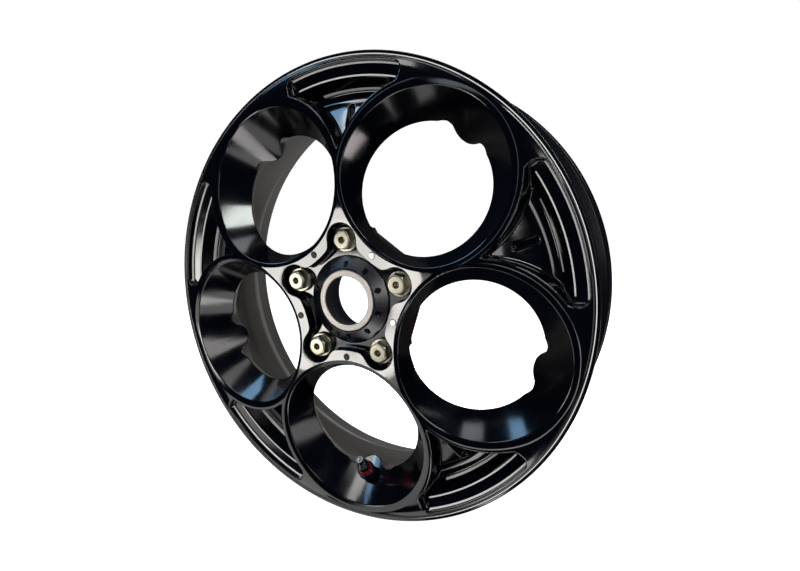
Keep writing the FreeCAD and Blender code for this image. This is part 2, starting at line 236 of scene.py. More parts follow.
def pocket_and_bands(x, y, z, r, rib, sides):
    """What is milled out of a spoke: the pocket and the two stepped bands in the rim."""
    floor = (y - smooth_curve(POCKET, r)) * POCKET_COS
    pocket = meet(meet(meet(sides, r - POCKET_R[1], 2.6), floor, 1.6), POCKET_R[0] - r, 0.1)
    end = np.abs(np.arctan2(z, x)) * r - BAND_REACH * r
    outer_side = meet(meet(end, r - OUTER_BAND_R[1], 5.5), OUTER_BAND_R[0] - r, 0.5)
    outer_band = meet(outer_side, band_floor(y, r, OUTER_FLOOR), 1.5)
    inner_side = meet(meet(end, rib, 1.0), r - INNER_BAND_R[1], 2.0)
    inner_floor = meet(band_floor(y, r, INNER_FLOOR) * INNER_FLOOR_COS, y - INNER_BAND_BACK_Y, 1.6)
    inner_band = meet(meet(inner_side, INNER_BAND_R[0] - r, 0.5), inner_floor, 1.2)
    return join(join(outer_band, inner_band, 0.7), pocket, 1.5)


def slot(x, y, z):
    """Blind slot in the pocket's floor."""
    around = np.sqrt((x - np.clip(x, *SLOT_X)) ** 2 + z * z) - SLOT_HALF_WIDTH
    return meet(around, y - SLOT_FLOOR_Y, 0.8)


def star_recess(x, y, z, r, sides):
    """Star round the hub, with a lobe round each bolt."""
    star = meet(sides, r - STAR_R, 1.0)
    lobe = from_axis(x, z, BOLT_CIRCLE_R) - LOBE_R
    return meet(join(star, lobe, 4.0), y - STAR_FLOOR_Y, 0.9)


def hub_holes(solid, x, y, z, r, u, w):
    """The solid with the cap's hole, the bearing housing, and the bolt and pin holes."""
    solid = cut(solid, meet(r - CAP_HOLE_R, y - CAP_HOLE_BACK_Y, 0.1), 0.2)
    solid = cut(solid, meet(r - HOUSING_R, HOUSING_FRONT_Y - y, 0.1), 0.1)
    solid = cut(solid, from_axis(x, z, BOLT_CIRCLE_R) - BOLT_HOLE_R, 0.1)
    pin = from_axis(u, w, PIN_CIRCLE_R) - PIN_HOLE_R
    return cut(solid, meet(pin, y - PIN_HOLE_BACK_Y, 0.1), 0.15)


def wheel_field(x, y, z):
    """Signed distance to the milled face, spokes and front rim, spoke along +x, +z side of it."""
    r = np.sqrt(x * x + z * z)
    u, w, u2, w2 = hole_axes(x, z)
    height, around, side = funnel_frame(u, w, y)
    cone = funnel_cone(height, around)
    face = (smooth_curve(FACE, r) - y) * FACE_COS
    solid = join(forging(face, r, y, height, around), hub_block(u, u2, y), 1.0)
    solid = cut(solid, scallops(u, w, y), 0.8)
    solid = join(solid, lobe_boss(u, w, r, y), 1.6)
    solid = cut(solid, cone, 0.35)
    solid = meet(solid, funnel_chamfer(face, cone, height, side), 0.3)

    here, there = from_axis(u, w, RIB_X), from_axis(u2, w2, RIB_X)
    rib = RIB_R - here
    between = meet(rib, RIB_R - there, 2.2)
    solid = cut(solid, pocket_and_bands(x, y, z, r, rib, between), 0.95)
    solid = cut(solid, slot(x, y, z), 0.45)
    star_sides = meet(STAR_WALL_R - here, STAR_WALL_R - there, 1.0)
    solid = cut(solid, star_recess(x, y, z, r, star_sides), 0.4)
    solid = hub_holes(solid, x, y, z, r, u, w)
    groove = np.sqrt((r - GROOVE_R) ** 2 + (y - GROOVE_Y) ** 2) - GROOVE_SECTION_R
    return cut(solid, groove, 0.35)


def bolt_field(x, y, z):
    """Signed distance to a flanged hexagon bolt with a drilled head, on its own axis."""
    r = np.sqrt(x * x + z * z)
    side = np.abs(x)
    for turn in (math.radians(60.0), math.radians(120.0)):
        side = np.maximum(side, np.abs(x * math.cos(turn) + z * math.sin(turn)))
    bevel = (r - BOLT_TOP_R - (y - BOLT_TOP_Y)) * 0.72
    head = meet(meet(side - BOLT_HEAD_HALF, bevel, 0.5), BOLT_TOP_Y - y, 0.45)
    head = meet(head, y + 2.0, 0.1)
    flange = meet(meet(r - BOLT_FLANGE_R, BOLT_FLANGE_Y - y, 0.6), y - STAR_FLOOR_Y, 0.1)
    shank = meet(meet(r - BOLT_SHANK_R, y - BOLT_END_Y, 0.7), -y - 3.0, 0.1)
    body = np.minimum(join(head, flange, 0.6), shank)
    return cut(body, meet(r - BOLT_DRILL_R, y - BOLT_DRILL_Y, 0.4), 0.35)


# ---- meshing ----
def net_grid():
    """Grid lines in radius, angle and y, closer together where the detail is finer."""
    fine, cells = ((0.42, 190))
    r = np.concatenate([np.arange(30.9, 149.9, fine), np.arange(149.9, 167.4, fine * 0.72)])
    dt = HALF / cells
    t = (np.arange(cells + 2) - 0.5) * dt
    front = np.arange(-12.6, 17.0, fine)
    back = np.linspace(front[-1], SPLIT_Y + 0.35, int((SPLIT_Y - front[-1]) / (fine * 1.35)) + 2)
    return r, t, np.concatenate([front, back[1:]])


def layers(field, x, y, z):
    """Field values on layers of points, one layer for each y."""
    value = np.empty(x.shape + (len(y),), np.float32)
    for k in range(len(y)):
        value[:, :, k] = field(x, np.full_like(x, y[k]), z)
    return value


def net_points(value, cell, r, t, y):
    """A point in each cell: the middle of where its edges cross the surface."""
    total = np.zeros((len(cell), 3))
    hits = np.zeros(len(cell))
    corners = [(i, j, k) for i in (0, 1) for j in (0, 1) for k in (0, 1)]
    for a, axis in [(a, axis) for a in corners for axis in range(3) if not a[axis]]:
        b = list(a)
        b[axis] = 1
        ia, ib = cell + np.array(a), cell + np.array(b)
        va, vb = value[tuple(ia.T)], value[tuple(ib.T)]
        cross = (va < 0) != (vb < 0)
        s = np.where(cross, va / np.where(cross, va - vb, 1.0), 0.0)
        pa = np.stack([r[ia[:, 0]], t[ia[:, 1]], y[ia[:, 2]]], 1)
        pb = np.stack([r[ib[:, 0]], t[ib[:, 1]], y[ib[:, 2]]], 1)
        total += np.where(cross[:, None], pa + s[:, None] * (pb - pa), 0.0)
        hits += cross
    return total / hits[:, None]


def net_quads(inside, number, shape):
    """A quad round each grid edge that crosses the surface."""
    quads = []
    for axis in range(3):
        lo = [slice(None)] * 3
        hi = [slice(None)] * 3
        lo[axis], hi[axis] = slice(0, -1), slice(1, None)
        a, b = inside[tuple(lo)], inside[tuple(hi)]
        others = [m for m in range(3) if m != axis]
        edge = np.argwhere(a != b)
        for m in others:
            edge = edge[(edge[:, m] > 0) & (edge[:, m] < shape[m])]
        ring = []
        for d0, d1 in ((0, 0), (-1, 0), (-1, -1), (0, -1)):
            c = edge.copy()
            c[:, others[0]] += d0
            c[:, others[1]] += d1
            ring.append(number[tuple(c.T)])
        quad = np.stack(ring, 1)
        flip = a[tuple(edge.T)] ^ (axis == 1)
        quad[flip] = quad[flip][:, ::-1]
        quads.append(quad)
    return np.concatenate(quads)


def surface_net(value, r, t, y):
    """Points and quads of the surface, with the grid cell of each point and the number of cells."""
    inside = value < 0
    shape = tuple(n - 1 for n in value.shape)
    count = np.zeros(shape, np.uint8)
    for i, j, k in [(i, j, k) for i in (0, 1) for j in (0, 1) for k in (0, 1)]:
        count += inside[i:shape[0] + i, j:shape[1] + j, k:shape[2] + k]
    cell = np.argwhere((count > 0) & (count < 8))
    number = np.full(shape, -1, np.int64)
    number[tuple(cell.T)] = np.arange(len(cell))
    return net_points(value, cell, r, t, y), cell, net_quads(inside, number, shape), shape


def gradient(field, p):
    """Field value and gradient at points."""
    step = 0.02
    g = np.empty_like(p)
    for m in range(3):
        d = np.zeros(3)
        d[m] = step
        hi, lo = p + d, p - d
        g[:, m] = (field(*hi.T) - field(*lo.T)) / (2 * step)
    return field(*p.T), g


def settle(p, held_y, rounds=3):
    """Moves points onto the surface, leaving those on the sector's edges in their planes."""
    angle = np.arctan2(p[:, 2], p[:, 0])
    on_spoke, on_hole = np.abs(angle) < 1e-4, np.abs(angle - HALF) < 1e-4
    hole_side = np.array([-math.sin(HALF), 0.0, math.cos(HALF)])
    for _ in range(rounds):
        f, g = gradient(wheel_field, p)
        g[on_spoke, 2] = 0.0
        g[on_hole] -= (g[on_hole] @ hole_side)[:, None] * hole_side
        g[held_y, 1] = 0.0
        size = np.maximum((g * g).sum(1), 0.25)
        move = g * (f / size)[:, None]
        length = np.linalg.norm(move, axis=1)
        p = p - move * np.minimum(1.0, 0.25 / np.maximum(length, 1e-9))[:, None]
    return p


def unit(v):
    return v / np.maximum(np.linalg.norm(v, axis=1), 1e-12)[:, None]


def thinned(p, quads):
    """The surface as fewer triangles: points and triangles."""
    mesh = bpy.data.meshes.new("net")
    mesh.from_pydata(p.tolist(), [], quads.tolist())
    scratch = bpy.data.objects.new("net", mesh)
    bpy.context.scene.collection.objects.link(scratch)
    thin = scratch.modifiers.new("thin", "DECIMATE")
    thin.ratio = 0.17
    thin.use_collapse_triangulate = True
    shown = scratch.evaluated_get(bpy.context.evaluated_depsgraph_get())
    result = bpy.data.meshes.new_from_object(shown)
    q = np.empty(len(result.vertices) * 3)
    result.vertices.foreach_get("co", q)
    tris = np.empty(len(result.polygons) * 3, np.int64)
    result.polygons.foreach_get("vertices", tris)
    bpy.data.objects.remove(scratch)
    return q.reshape(-1, 3), tris.reshape(-1, 3)


def back_in_planes(q):
    """Puts points that left the sector's edges or its rear plane back there, and marks the rear ones."""
    angle = np.arctan2(q[:, 2], q[:, 0])
    radius = np.hypot(q[:, 0], q[:, 2])
    angle = np.where(np.abs(angle) * radius < 0.03, 0.0, angle)
    angle = np.where(np.abs(angle - HALF) * radius < 0.03, HALF, angle)
    q = np.stack([radius * np.cos(angle), q[:, 1], radius * np.sin(angle)], 1)
    held = np.abs(q[:, 1] - SPLIT_Y) < 0.02
    q[held, 1] = SPLIT_Y
    return q, held


def half_fifth():
    """Points, triangles and normals of half of one fifth of the milled wheel, in mm."""
    r, t, y = net_grid()
    value = layers(wheel_field, r[:, None] * np.cos(t)[None], y, r[:, None] * np.sin(t)[None])
    place, cell, quads, shape = surface_net(value, r, t, y)
    place[cell[:, 1] == 0, 1] = 0.0
    place[cell[:, 1] == shape[1] - 1, 1] = HALF
    last = cell[:, 2] == shape[2] - 1
    place[last, 2] = SPLIT_Y
    radius, angle, depth = place.T
    p = np.stack([radius * np.cos(angle), depth, radius * np.sin(angle)], 1)
    q, tris = thinned(settle(p, last), quads)
    q = settle(*back_in_planes(q), 2)
    return q, tris, unit(gradient(wheel_field, q)[1])


def turned(points, angle):
    """Points or directions turned about the axle."""
    c, s = math.cos(angle), math.sin(angle)
    x, y, z = points.T
    return np.stack([x * c - z * s, y, x * s + z * c], 1)


def welded(p, tris, columns):
    """Joins points that lie together, and drops those that no face uses."""
    used = np.unique(tris)
    key = np.round(p[used] * 1000.0).astype(np.int64)
    first, place = np.unique(key, axis=0, return_index=True, return_inverse=True)[1:]
    renumber = np.zeros(len(p), np.int64)
    renumber[used] = place.ravel()
    tris = renumber[tris]
    good = (tris[:, 0] != tris[:, 1]) & (tris[:, 1] != tris[:, 2]) & (tris[:, 0] != tris[:, 2])
    keep = used[first]
    return p[keep], tris[good], {name: column[keep] for name, column in columns.items()}


def mesh_piece(name, p, faces, normals=None, numbers=None, vectors=None):
    """Object from points in mm, with given normals and point attributes."""
    mesh = bpy.data.meshes.new(name)
    mesh.from_pydata((p * MM).tolist(), [], faces.tolist())
    mesh.polygons.foreach_set("use_smooth", np.ones(len(mesh.polygons), bool))
    if normals is not None:
        mesh.normals_split_custom_set_from_vertices(normals.tolist())
    for key, values in (numbers or {}).items():
        layer = mesh.attributes.new(key, "FLOAT", "POINT")
        layer.data.foreach_set("value", np.asarray(values, np.float32))
    for key, values in (vectors or {}).items():
        layer = mesh.attributes.new(key, "FLOAT_VECTOR", "POINT")
        layer.data.foreach_set("vector", np.asarray(values, np.float32).ravel())
    piece = bpy.data.objects.new(name, mesh)
    bpy.context.scene.collection.objects.link(piece)
    return piece


def finish_marks(p):
    """Share turned, share matt, distance across the marks and their direction, at each point."""
    x, y, z = p.T
    u, w = hole_axes(x, z)[:2]
    height, around, side = funnel_frame(u, w, y)
    gap = np.abs(funnel_cone(height, around))
    share = np.clip(1.0 - (gap - 0.02) / 0.03, 0.0, 1.0) * (height > -6.0)
    radius = np.hypot(x, z)
    in_hole = np.clip(y - 11.0, 0.0, 1.0) * (around < 60.0)
    on_back = np.clip(3.0 - (smooth_curve(BACK, radius) - y), 0.0, 1.0)
    matt = np.clip((gap - 0.15) / 0.2, 0.0, 1.0) * np.maximum(in_hole, on_back) * (radius < 142.0)
    near = (gap < 2.2) & (radius < 152.0)
    across = np.where(near, height / math.cos(FUNNEL_SLOPE), radius)
    s, c = math.sin(FUNNEL_TILT), math.cos(FUNNEL_TILT)
    du, dw, dy = -w * c / np.maximum(around, 1e-6), side / np.maximum(around, 1e-6), -w * s / around
    ring = np.stack([du * math.cos(HALF) - dw * math.sin(HALF), dy,
                     du * math.sin(HALF) + dw * math.cos(HALF)], 1)
    hoop = np.stack([-z, np.zeros_like(x), x], 1) / np.maximum(radius, 1e-6)[:, None]
    along = np.where(near[:, None], ring, hoop)
    return share, matt, across, along


def milled_wheel():
    """Hub, five spokes, front rim and the front of the barrel, as points, triangles and columns."""
    q, tris, n = half_fifth()
    share, matt, across, along = finish_marks(q)
    mirror = np.array([1.0, 1.0, -1.0])
    fifth = np.concatenate([q, q * mirror])
    faces = np.concatenate([tris, tris[:, ::-1] + len(q)])
    normals = np.concatenate([n, n * mirror])
    grain = np.concatenate([along, along * mirror])
    twice = {"turned": np.tile(share, 2), "matt": np.tile(matt, 2), "across": np.tile(across, 2)}
    middle = fifth[faces].mean(1)
    radius = np.hypot(middle[:, 0], middle[:, 2])
    region = {"hub": radius < 49.0,
              "spoke": (radius >= 49.0) & (radius < 136.5),
              "rim": (radius >= 136.5) & (middle[:, 1] < 24.0),
              "barrel": (radius >= 136.5) & (middle[:, 1] >= 24.0)}
    return fifth, faces, normals, grain, twice, region


def region_piece(name, parts, region, angles):
    """One piece from the faces of a region, repeated at the angles."""
    fifth, faces, normals, grain, twice, regions = parts
    chosen = faces[regions[region]]
    p = np.concatenate([turned(fifth, a) for a in angles])
    tris = np.concatenate([chosen + len(fifth) * i for i in range(len(angles))])
    columns = {"normal": np.concatenate([turned(normals, a) for a in angles]),
               "grain": np.concatenate([turned(grain, a) for a in angles])}
    columns.update({key: np.tile(column, len(angles)) for key, column in twice.items()})
    p, tris, columns = welded(p, tris, columns)
    return mesh_piece(name, p, tris, columns["normal"], {key: columns[key] for key in twice},
                      {"grain": columns["grain"]})


def bolt_mesh():
    """Points, quads and normals of a bolt, in mm on its own axis."""
    across = np.arange(-9.4, 9.5, 0.36)
    y = np.concatenate([np.arange(-10.0, 0.0, 0.3), np.arange(0.0, BOLT_END_Y + 1.0, 0.5)])
    x, z = np.meshgrid(across, across, indexing="ij")
    place, cell, quads, shape = surface_net(layers(bolt_field, x, y, z), across, across, y)
    p = place[:, [0, 2, 1]]
    for _ in range(3):
        f, g = gradient(bolt_field, p)
        p = p - g * (f / np.maximum((g * g).sum(1), 0.25))[:, None]
    return p, quads, unit(gradient(bolt_field, p)[1])


def softened(corners):
    """Closed profile from corners of radius, y and rounding, each made an arc; points are (radius, y)."""
    out = []
    points = [np.array(corner[:2], float) for corner in corners]
    for i, here in enumerate(points):
        a, b = points[i - 1] - here, points[(i + 1) % len(points)] - here
        la, lb = np.linalg.norm(a), np.linalg.norm(b)
        a, b = a / la, b / lb
        half = math.acos(max(-1.0, min(1.0, float(a @ b)))) / 2.0
        reach = min(corners[i][2] / max(math.tan(half), 1e-6), 0.45 * la, 0.45 * lb)
        radius = reach * math.tan(half)
        if reach < 1e-4:
            out.append(tuple(here))
            continue
        centre = here + unit(((a + b) / 2)[None])[0] * (radius / math.sin(half))
        start, end = here + a * reach - centre, here + b * reach - centre
        turn = math.atan2(start[0] * end[1] - start[1] * end[0], float(start @ end))
        for k in range(ARC_STEPS + 1):
            c, s = math.cos(turn * k / ARC_STEPS), math.sin(turn * k / ARC_STEPS)
            out.append((centre[0] + start[0] * c - start[1] * s,
                        centre[1] + start[0] * s + start[1] * c))
    return out


def lathe(name, profile):
    """Turned piece from an open profile of (radius, y) points, in mm, about the axle."""
    n = LATHE_SEGMENTS
    angles = np.arange(n) * 2.0 * math.pi / n
    pr = np.array(profile, float)
    p = np.stack([pr[:, None, 0] * np.cos(angles), np.repeat(pr[:, 1:2], n, 1),
                  pr[:, None, 0] * np.sin(angles)], 2).reshape(-1, 3)
    faces = []
    for i in range(len(pr) - 1):
        for k in range(n):
            m = (k + 1) % n
            faces.append((i * n + k, i * n + m, (i + 1) * n + m, (i + 1) * n + k))
    return mesh_piece(name, p, np.array(faces))


# ---- materials ----
# turned marks: their pitch in mm, and their depth in metres
MARK_PITCH = 0.95
MARK_DEPTH = 0.0000021


def new_material(name):
    material = bpy.data.materials.new(name)
    material.use_nodes = True
    nodes = material.node_tree.nodes
    return material, nodes, material.node_tree.links, nodes["Principled BSDF"]


def attribute(nodes, name):
    node = nodes.new("ShaderNodeAttribute")
    node.attribute_name = name
    return node


def maths(nodes, links, operation, a, b=None):
    node = nodes.new("ShaderNodeMath")
    node.operation = operation
    for socket, value in zip(node.inputs, (a, b)):
        if value is None:
            continue
        if isinstance(value, (int, float)):
            socket.default_value = value
        else:
            links.new(value, socket)
    return node.outputs[0]


def spread(nodes, links, value, low, high, start=0.0, end=1.0):
    """A value from start..end mapped to low..high."""
    node = nodes.new("ShaderNodeMapRange")
    links.new(value, node.inputs["Value"])
    node.inputs["From Min"].default_value = start
    node.inputs["From Max"].default_value = end
    node.inputs["To Min"].default_value = low
    node.inputs["To Max"].default_value = high
    return node.outputs["Result"]


def noise(nodes, links, scale, detail):
    node = nodes.new("ShaderNodeTexNoise")
    node.inputs["Scale"].default_value = scale
    node.inputs["Detail"].default_value = detail
    links.new(nodes.new("ShaderNodeTexCoord").outputs["Object"], node.inputs["Vector"])
    return node.outputs["Fac"]


def colours(nodes, links, value, first, second):
    node = nodes.new("ShaderNodeMix")
    node.data_type = "RGBA"
    links.new(value, node.inputs["Factor"])
    node.inputs["A"].default_value = (*first, 1.0)
    node.inputs["B"].default_value = (*second, 1.0)
    return node.outputs["Result"]


def bump(nodes, links, shader, height, distance):
    node = nodes.new("ShaderNodeBump")
    node.inputs["Distance"].default_value = distance
    links.new(height, node.inputs["Height"])
    links.new(node.outputs["Normal"], shader.inputs["Normal"])


def clearly(nodes, links, value, limit, soft):
    """1 where a value is above a limit, 0 below, with a soft step between."""
    return spread(nodes, links, value, 0.0, 1.0, limit - soft, limit + soft)


def painted_highlight_lines(nodes, links):
    """Share of painted highlight: three arcs in the rim at each spoke, coloured light in place of the
    reflections on their edges, from place alone, in metres.
    """
    place = nodes.new("ShaderNodeSeparateXYZ")
    links.new(nodes.new("ShaderNodeTexCoord").outputs["Object"], place.inputs[0])
    x, y, z = place.outputs
    squares = [maths(nodes, links, "MULTIPLY", v, v) for v in (x, z)]
    radius = maths(nodes, links, "SQRT", maths(nodes, links, "ADD", *squares))
    turn = maths(nodes, links, "MULTIPLY", maths(nodes, links, "ARCTAN2", z, x), float(HOLES))
    near = maths(nodes, links, "COSINE", maths(nodes, links, "SUBTRACT", turn, HOLES * FIRST_SPOKE))
    total = None
    for line_r, half_width, reach, above, below in PAINTED_HIGHLIGHT_LINES:
        off = maths(nodes, links, "ABSOLUTE", maths(nodes, links, "SUBTRACT", radius, line_r * MM))
        share = clearly(nodes, links, off, half_width * MM, 0.00012)
        share = maths(nodes, links, "SUBTRACT", 1.0, share)
        ends = clearly(nodes, links, near, math.cos(math.radians(HOLES * reach)), 0.01)
        deep = clearly(nodes, links, y, above * MM, 0.0002)
        shallow = maths(nodes, links, "SUBTRACT", 1.0, clearly(nodes, links, y, below * MM, 0.0002))
        for part in (ends, deep, shallow):
            share = maths(nodes, links, "MULTIPLY", share, part)
        total = share if total is None else maths(nodes, links, "MAXIMUM", total, share)
    return total


def black_anodised(name, base, on_cones, elsewhere):
    """Black anodised aluminium: fine turned marks on the cones, glossier milled faces, matt at the rear,
    and painted highlight arcs in the rim.
    """
    material, nodes, links, shader = new_material(name)
    turned_share = attribute(nodes, "turned").outputs["Fac"]
    across = attribute(nodes, "across").outputs["Fac"]
    cloud = noise(nodes, links, 55.0, 4.0)
    tint = colours(nodes, links, cloud, base, tuple(c * 1.7 for c in base))
    # painted highlight: the three rim arcs get a near-white colour that stands in for the reflection along
    # the edges there
    painted_highlight_share = painted_highlight_lines(nodes, links)
    painted_highlight_colour = colours(nodes, links, painted_highlight_share, base, (0.80, 0.78, 0.75))
    links.new(tint, painted_highlight_colour.node.inputs["A"])
    matt = attribute(nodes, "matt").outputs["Fac"]
    dulled = colours(nodes, links, matt, base, (0.085, 0.078, 0.070))
    links.new(painted_highlight_colour, dulled.node.inputs["A"])
    links.new(dulled, shader.inputs["Base Color"])
    gloss = spread(nodes, links, turned_share, elsewhere, on_cones)
    gloss = maths(nodes, links, "ADD", gloss, maths(nodes, links, "MULTIPLY", painted_highlight_share, 0.25))
    gloss = maths(nodes, links, "ADD", gloss, maths(nodes, links, "MULTIPLY", matt, 0.45))
    wear = spread(nodes, links, cloud, -0.03, 0.03, 0.3, 0.7)
    links.new(maths(nodes, links, "ADD", gloss, wear), shader.inputs["Roughness"])
    ridge = maths(nodes, links, "SINE", maths(nodes, links, "MULTIPLY", across, 6.2832 / MARK_PITCH))
    ridge = maths(nodes, links, "MULTIPLY", ridge, maths(nodes, links, "MULTIPLY", turned_share, 0.5))
    grit = noise(nodes, links, 2600.0, 2.0)
    height = maths(nodes, links, "ADD", ridge, maths(nodes, links, "MULTIPLY", grit, 0.04))
    bump(nodes, links, shader, height, MARK_DEPTH)
    shader.inputs["IOR"].default_value = 1.62
    shader.inputs["Anisotropic"].default_value = 0.45
    world_grain = nodes.new("ShaderNodeVectorTransform")
    world_grain.vector_type = "VECTOR"
    world_grain.convert_from = "OBJECT"
    world_grain.convert_to = "WORLD"
    links.new(attribute(nodes, "grain").outputs["Vector"], world_grain.inputs["Vector"])
    links.new(world_grain.outputs["Vector"], shader.inputs["Tangent"])
    return material


def plain_metal(name, light, dark, metallic, roughness):
    """Metal, paint or rubber with mottled colour, uneven gloss and a fine grain."""
    material, nodes, links, shader = new_material(name)
    cloud = noise(nodes, links, 72.0, 4.0)
    links.new(colours(nodes, links, cloud, dark, light), shader.inputs["Base Color"])
    gloss = spread(nodes, links, cloud, roughness * 0.8, roughness * 1.2)
    links.new(gloss, shader.inputs["Roughness"])
    bump(nodes, links, shader, noise(nodes, links, 900.0, 3.0), 0.000004)
    shader.inputs["Metallic"].default_value = metallic
    shader.inputs["IOR"].default_value = 1.5
    return material


def turned_metal(name, base, metallic, roughness, spread_along, ior=1.5):
    """Lathe-turned surface: highlights smeared across the fine rings left by the tool."""
    material, nodes, links, shader = new_material(name)
    cloud = noise(nodes, links, 240.0, 3.0)
    tint = colours(nodes, links, cloud, tuple(c * 0.85 for c in base), base)
    links.new(tint, shader.inputs["Base Color"])
    gloss = spread(nodes, links, cloud, roughness * 0.9, roughness * 1.1)
    links.new(gloss, shader.inputs["Roughness"])
    shader.inputs["Metallic"].default_value = metallic
    shader.inputs["IOR"].default_value = ior
    shader.inputs["Anisotropic"].default_value = spread_along
    hoop = nodes.new("ShaderNodeVectorMath")
    hoop.operation = "CROSS_PRODUCT"
    hoop.inputs[1].default_value = (0.0, 1.0, 0.0)
    links.new(nodes.new("ShaderNodeNewGeometry").outputs["Position"], hoop.inputs[0])
    links.new(hoop.outputs["Vector"], shader.inputs["Tangent"])
    return material


def barrel_paint(name):
    """Black barrel: glossy outside, matte warm grey on the inner wall."""
    material, nodes, links, shader = new_material(name)
    geometry = nodes.new("ShaderNodeNewGeometry")
    flat = nodes.new("ShaderNodeVectorMath")
    flat.operation = "MULTIPLY"
    flat.inputs[1].default_value = (1.0, 0.0, 1.0)
    links.new(geometry.outputs["Position"], flat.inputs[0])
    facing = nodes.new("ShaderNodeVectorMath")
    facing.operation = "DOT_PRODUCT"
    links.new(flat.outputs["Vector"], facing.inputs[0])
    links.new(geometry.outputs["Normal"], facing.inputs[1])
    outside = spread(nodes, links, facing.outputs["Value"], 0.0, 1.0, -0.08, -0.04)
    cloud = noise(nodes, links, 40.0, 4.0)
    wall = colours(nodes, links, cloud, (0.070, 0.066, 0.062), (0.088, 0.083, 0.078))
    tint = colours(nodes, links, outside, (0.0, 0.0, 0.0), (0.006, 0.006, 0.008))
    links.new(wall, tint.node.inputs["A"])
    links.new(tint, shader.inputs["Base Color"])
    links.new(spread(nodes, links, outside, 0.5, 0.16), shader.inputs["Roughness"])
    bump(nodes, links, shader, noise(nodes, links, 1800.0, 2.0), 0.000003)
    shader.inputs["IOR"].default_value = 1.55
    return material


def pin_steel(name):
    """Ground pin ends, with painted highlight and shade: light colour towards +X, duller and darker towards
    -X.
    """
    material, nodes, links, shader = new_material(name)
    cloud = noise(nodes, links, 1500.0, 3.0)
    place = nodes.new("ShaderNodeSeparateXYZ")
    links.new(nodes.new("ShaderNodeTexCoord").outputs["Object"], place.inputs[0])
    # painted highlight and shade: the colour goes from dark towards -X to light towards +X, in place of how
    # the pins reflect the lights
    painted_light_side = spread(nodes, links, place.outputs["X"], 0.0, 1.0, 0.004, 0.016)
    tint = colours(nodes, links, painted_light_side, (0.03, 0.03, 0.03), (0.85, 0.84, 0.82))
    links.new(tint, shader.inputs["Base Color"])
    links.new(spread(nodes, links, cloud, 0.28, 0.42), shader.inputs["Roughness"])
    shader.inputs["Metallic"].default_value = 1.0
    return material


def dress(piece, material):
    piece.data.materials.clear()
    piece.data.materials.append(material)


# ---- the set: the camera's lens in mm, place in metres and turn about X, Y and Z in degrees ----
CAMERA_LENS = 22.683
CAMERA_PLACE = (0.18879, -0.30080, 0.06187)
CAMERA_TURN = (81.465, 1.666, 26.206)


def camera():
    data = bpy.data.cameras.new("camera")
    data.sensor_width = 36.0
    data.lens = CAMERA_LENS
    data.clip_start = 0.01
    view = bpy.data.objects.new("camera", data)
    turn = Euler([math.radians(angle) for angle in CAMERA_TURN]).to_matrix().to_4x4()
    view.matrix_world = Matrix.Translation(CAMERA_PLACE) @ turn
    bpy.context.scene.collection.objects.link(view)
    bpy.context.scene.camera = view


# azimuth from -Y towards +X, elevation, width and height in degrees, radiance, colour
CARDS = {
    "card_hub": (-35.5, -9.0, 11.0, 11.0, 12.0, (1.0, 0.97, 0.92)),
    "card_hub_glow": (-33.0, -14.0, 18.0, 12.0, 1.8, (1.0, 0.97, 0.93)),
    "card_centre_low": (3.0, -28.0, 9.0, 14.0, 3.0, (1.0, 0.97, 0.95)),
    "card_left_low": (-48.0, -39.0, 34.0, 30.0, 1.2, (1.0, 0.98, 0.96)),
    "card_left_floor": (-55.0, -68.0, 50.0, 12.0, 1.2, (1.0, 0.97, 0.96)),
    "card_right_low": (87.0, -25.0, 10.0, 26.0, 6.5, (1.0, 0.90, 0.90)),
    "card_right_level": (69.0, -14.0, 10.0, 32.0, 1.6, (1.0, 1.0, 1.0)),
    "card_right_high": (60.0, 45.0, 7.0, 30.0, 15.0, (0.93, 1.0, 0.96)),
    "card_right_front": (28.3, 13.0, 10.0, 28.0, 3.6, (1.0, 0.97, 0.96)),
    "card_overhead": (0.0, 88.0, 20.0, 20.0, 2.4, (0.90, 0.95, 1.0)),
    "card_left_strip": (-17.0, 13.0, 3.5, 24.0, 1.8, (0.80, 0.92, 1.0)),
    "card_blue": (-70.5, 46.0, 36.0, 13.0, 5.6, (0.34, 0.64, 1.0)),
    "card_front_high": (-33.0, 49.0, 22.0, 9.0, 5.5, (1.0, 0.98, 0.96)),
    "card_front_top": (-10.0, 54.0, 24.0, 7.0, 1.8, (1.0, 0.98, 0.96)),
    "card_front_low": (15.0, -52.0, 28.0, 12.0, 4.5, (1.0, 0.97, 0.96)),
    "card_front_floor": (38.0, -52.0, 13.0, 40.0, 1.6, (1.0, 0.97, 0.96)),
}
# metres from the wheel's middle; the near card shows in one funnel without reaching the next
CARD_DISTANCE = 1.5
NEAR_CARDS = {"card_right_front": 0.8}


def facing_middle(name, data, place):
    """Light that shines from a place towards the wheel's middle, and isn't seen itself."""
    light = bpy.data.objects.new(name, data)
    turn = place.to_track_quat("Z", "Y").to_matrix().to_4x4()
    light.matrix_world = Matrix.Translation(place) @ turn
    light.visible_camera = False
    bpy.context.scene.collection.objects.link(light)
    return light


def card(name, azimuth, elevation, wide, high, radiance, colour):
    """Soft box that faces the wheel from a direction."""
    a, e = math.radians(azimuth), math.radians(elevation)
    away = NEAR_CARDS.get(name, CARD_DISTANCE)
    back = Vector((math.sin(a) * math.cos(e), -math.cos(a) * math.cos(e), math.sin(e)))
    data = bpy.data.lights.new(name, "AREA")
    data.shape = "RECTANGLE"
    data.size = 2.0 * away * math.tan(math.radians(wide) / 2.0)
    data.size_y = 2.0 * away * math.tan(math.radians(high) / 2.0)
    data.color = colour
    data.energy = radiance * math.pi * data.size * data.size_y
    facing_middle(name, data, back * away)


# place and size in metres, and radiance
FILLS = {
    "fill_front": ((0.19, -1.88, 0.66), 2.4, 1.2),
    "fill_top": ((0.05, 0.70, 1.30), 1.0, 3.0),
    "fill_low": ((-0.11, 0.36, -0.14), 0.12, 70.0),
}


